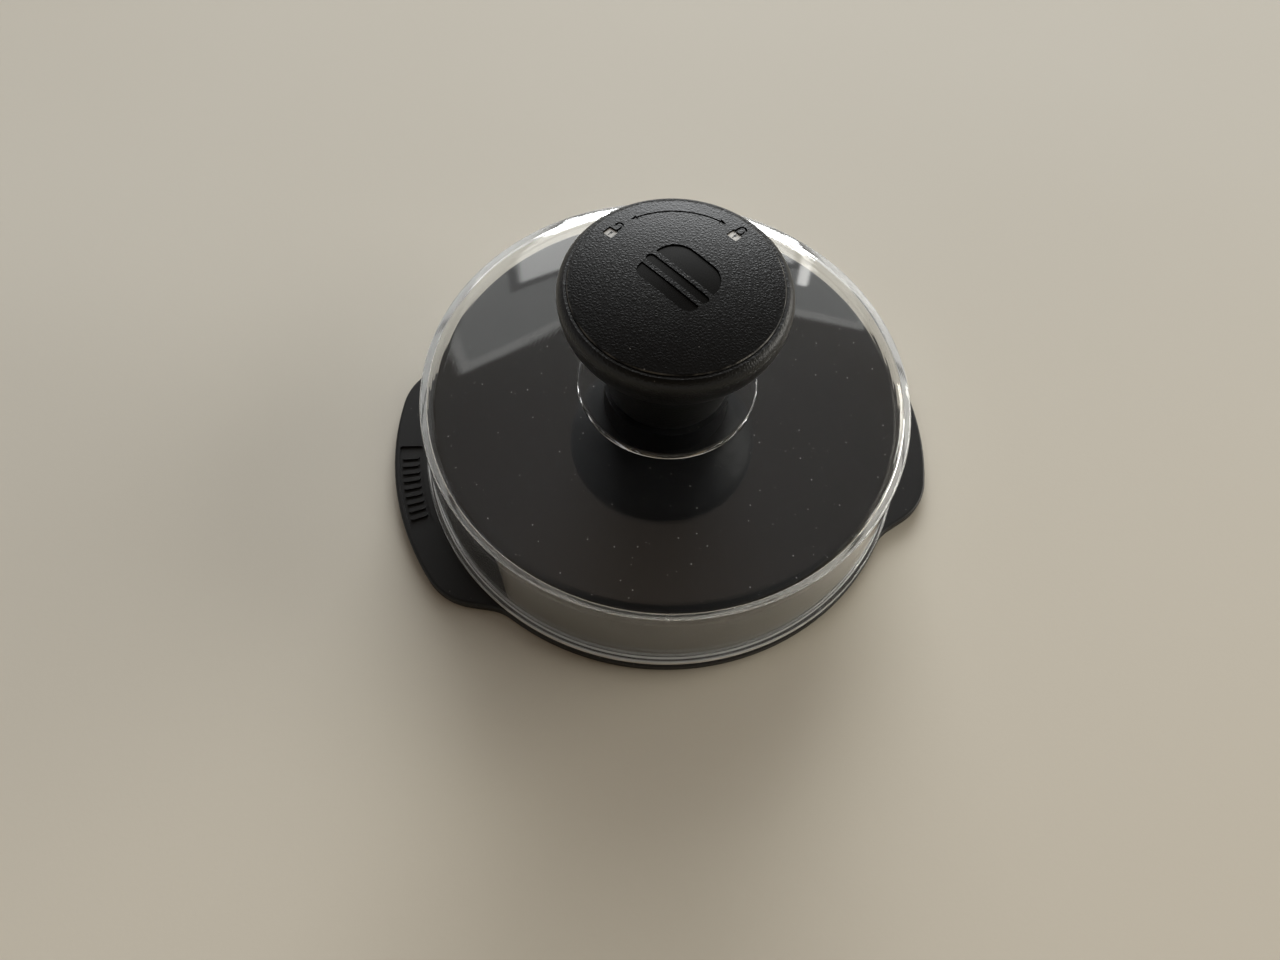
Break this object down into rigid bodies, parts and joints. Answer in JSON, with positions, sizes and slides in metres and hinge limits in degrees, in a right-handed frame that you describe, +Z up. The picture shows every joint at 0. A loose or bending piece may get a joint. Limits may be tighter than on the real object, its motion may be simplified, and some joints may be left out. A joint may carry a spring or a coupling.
{
  "type": "patty press",
  "caption": "Round hand patty press: black tray with ears, clear cup that stands on it, black plate hung under the cup's top, mushroom knob with a quarter-turn lock.",
  "frame": {"origin": "on the table, under the middle of the tray", "axes": "+X through the ears, away from the ear with the grip panel; -Y to the front; +Z up along the cup and knob"},
  "size_m": [0.1462, 0.1286, 0.0735],
  "materials": {
    "tray_plastic": "matt moulded black, fine texture",
    "clear_plastic": "polished transparent moulding",
    "plate_plastic": "smooth satin black",
    "knob_plastic": "smooth satin black",
    "cap_plastic": "leather-grained black with smooth sunk marks"
  },
  "bodies": {
    "tray": {"base_tray": "tray_plastic"},
    "lid": {"clear_cup": "clear_plastic", "press_plate": "plate_plastic"},
    "knob": {"knob_body": "knob_plastic", "knob_cap": "cap_plastic"}
  },
  "joints": [
    {"name": "lid_lift", "type": "slide", "parent": "tray", "child": "lid", "axis": [0, 0, 1], "range_m": [0, 0.04]},
    {"name": "knob_turn", "type": "hinge", "parent": "lid", "child": "knob", "pos_m": [0, 0, 0.0352], "axis": [0, 0, 1], "range_deg": [0, 90]}
  ]
}
